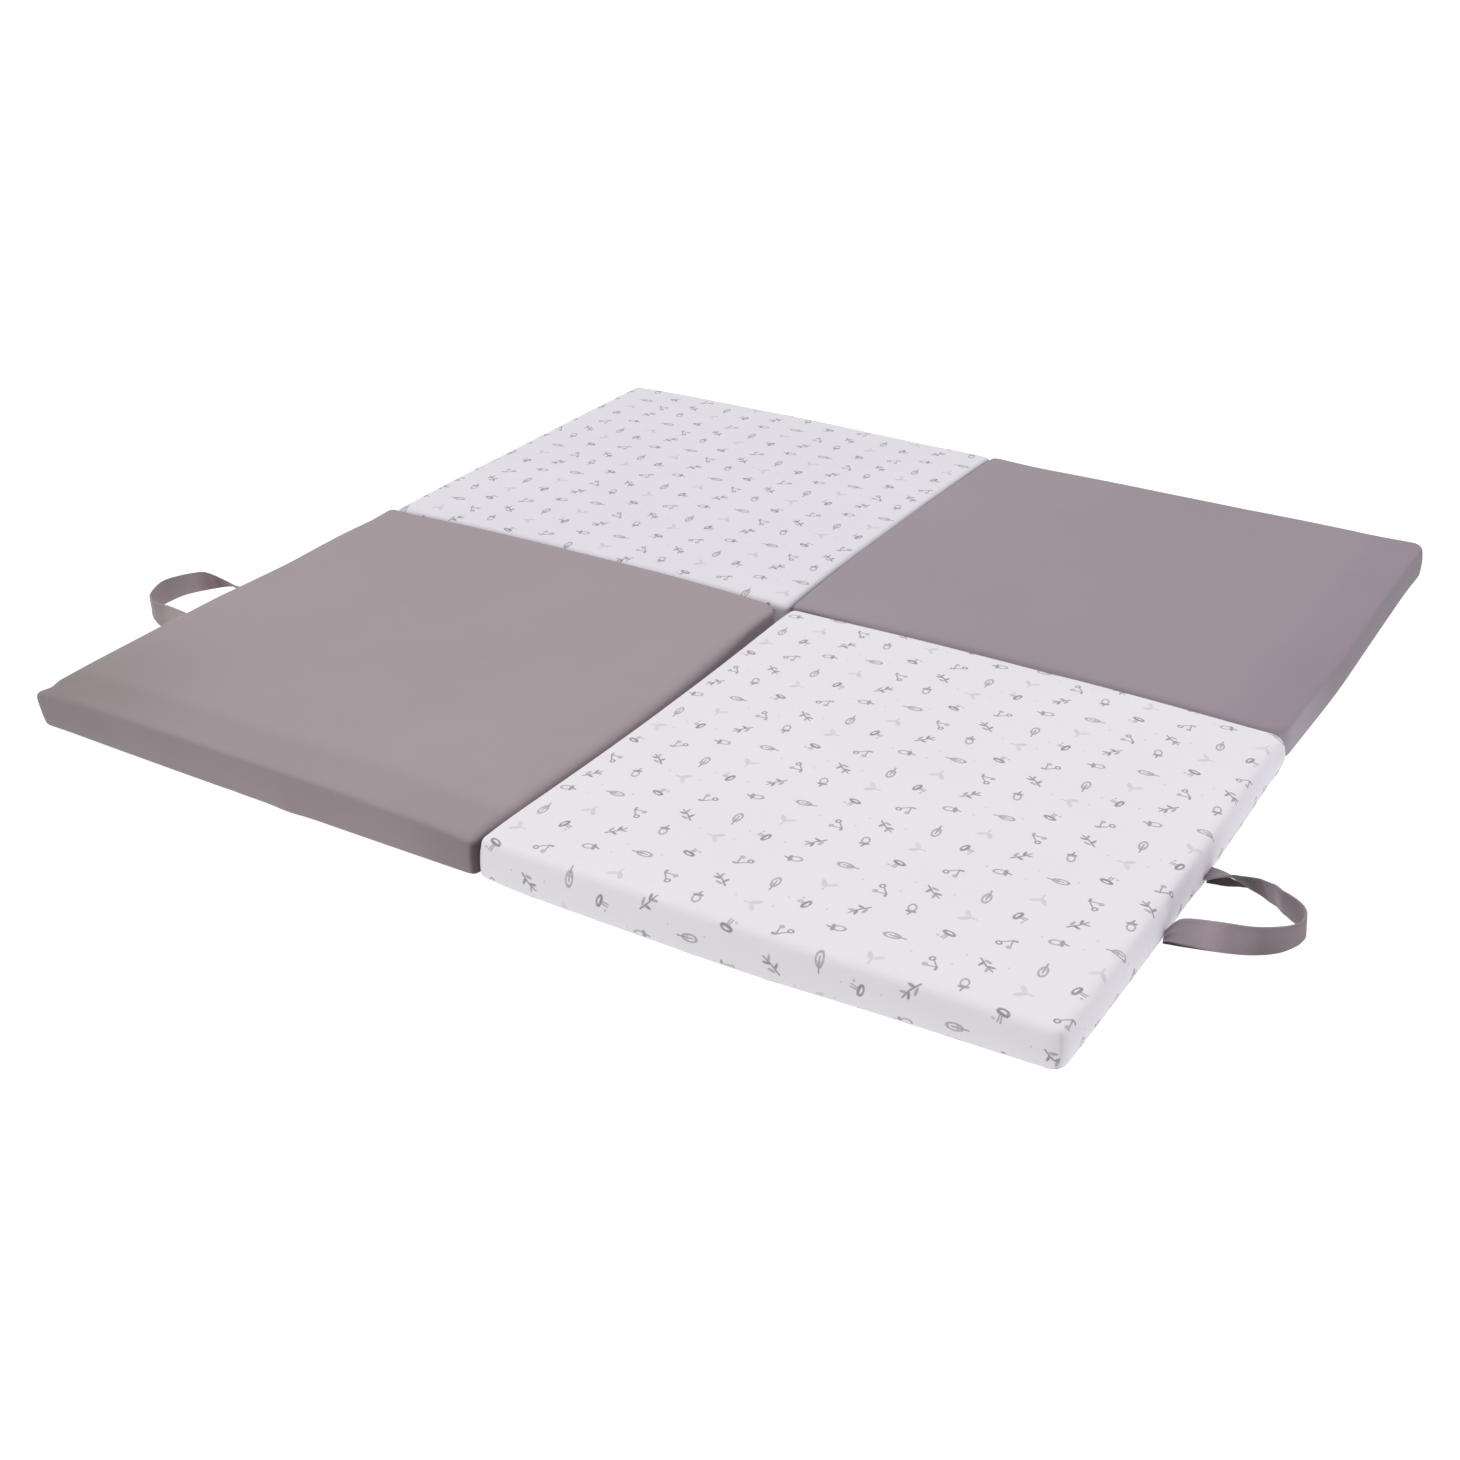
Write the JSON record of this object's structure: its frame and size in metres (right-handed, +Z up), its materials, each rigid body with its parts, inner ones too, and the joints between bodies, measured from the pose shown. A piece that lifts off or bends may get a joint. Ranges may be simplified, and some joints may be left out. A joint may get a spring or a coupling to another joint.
{
  "type": "baby play mat",
  "caption": "Folding padded floor mat of square filled sections, plain taupe and printed white in turn, with a cloth carry strap on each outer side.",
  "frame": {"origin": "on the floor under the middle of the mat's whole outline, straps included", "axes": "+Z up, +X along the front edge from the plain front section to the printed one, +Y from the front edge to the back one"},
  "size_m": [1.4325, 1.2178, 0.0536],
  "materials": {
    "taupe_cover": "matt plain-woven cotton, taupe grey",
    "print_cover": "matt plain-woven cotton, cool white with a small grey print",
    "strap_cloth": "matt folded and edge-stitched cotton tape, taupe grey"
  },
  "bodies": {
    "root": {"pad_front_left": "taupe_cover", "pad_front_right": "print_cover", "pad_back_right": "taupe_cover", "pad_back_left": "print_cover", "strap_left": "strap_cloth", "strap_right": "strap_cloth"}
  },
  "joints": []
}
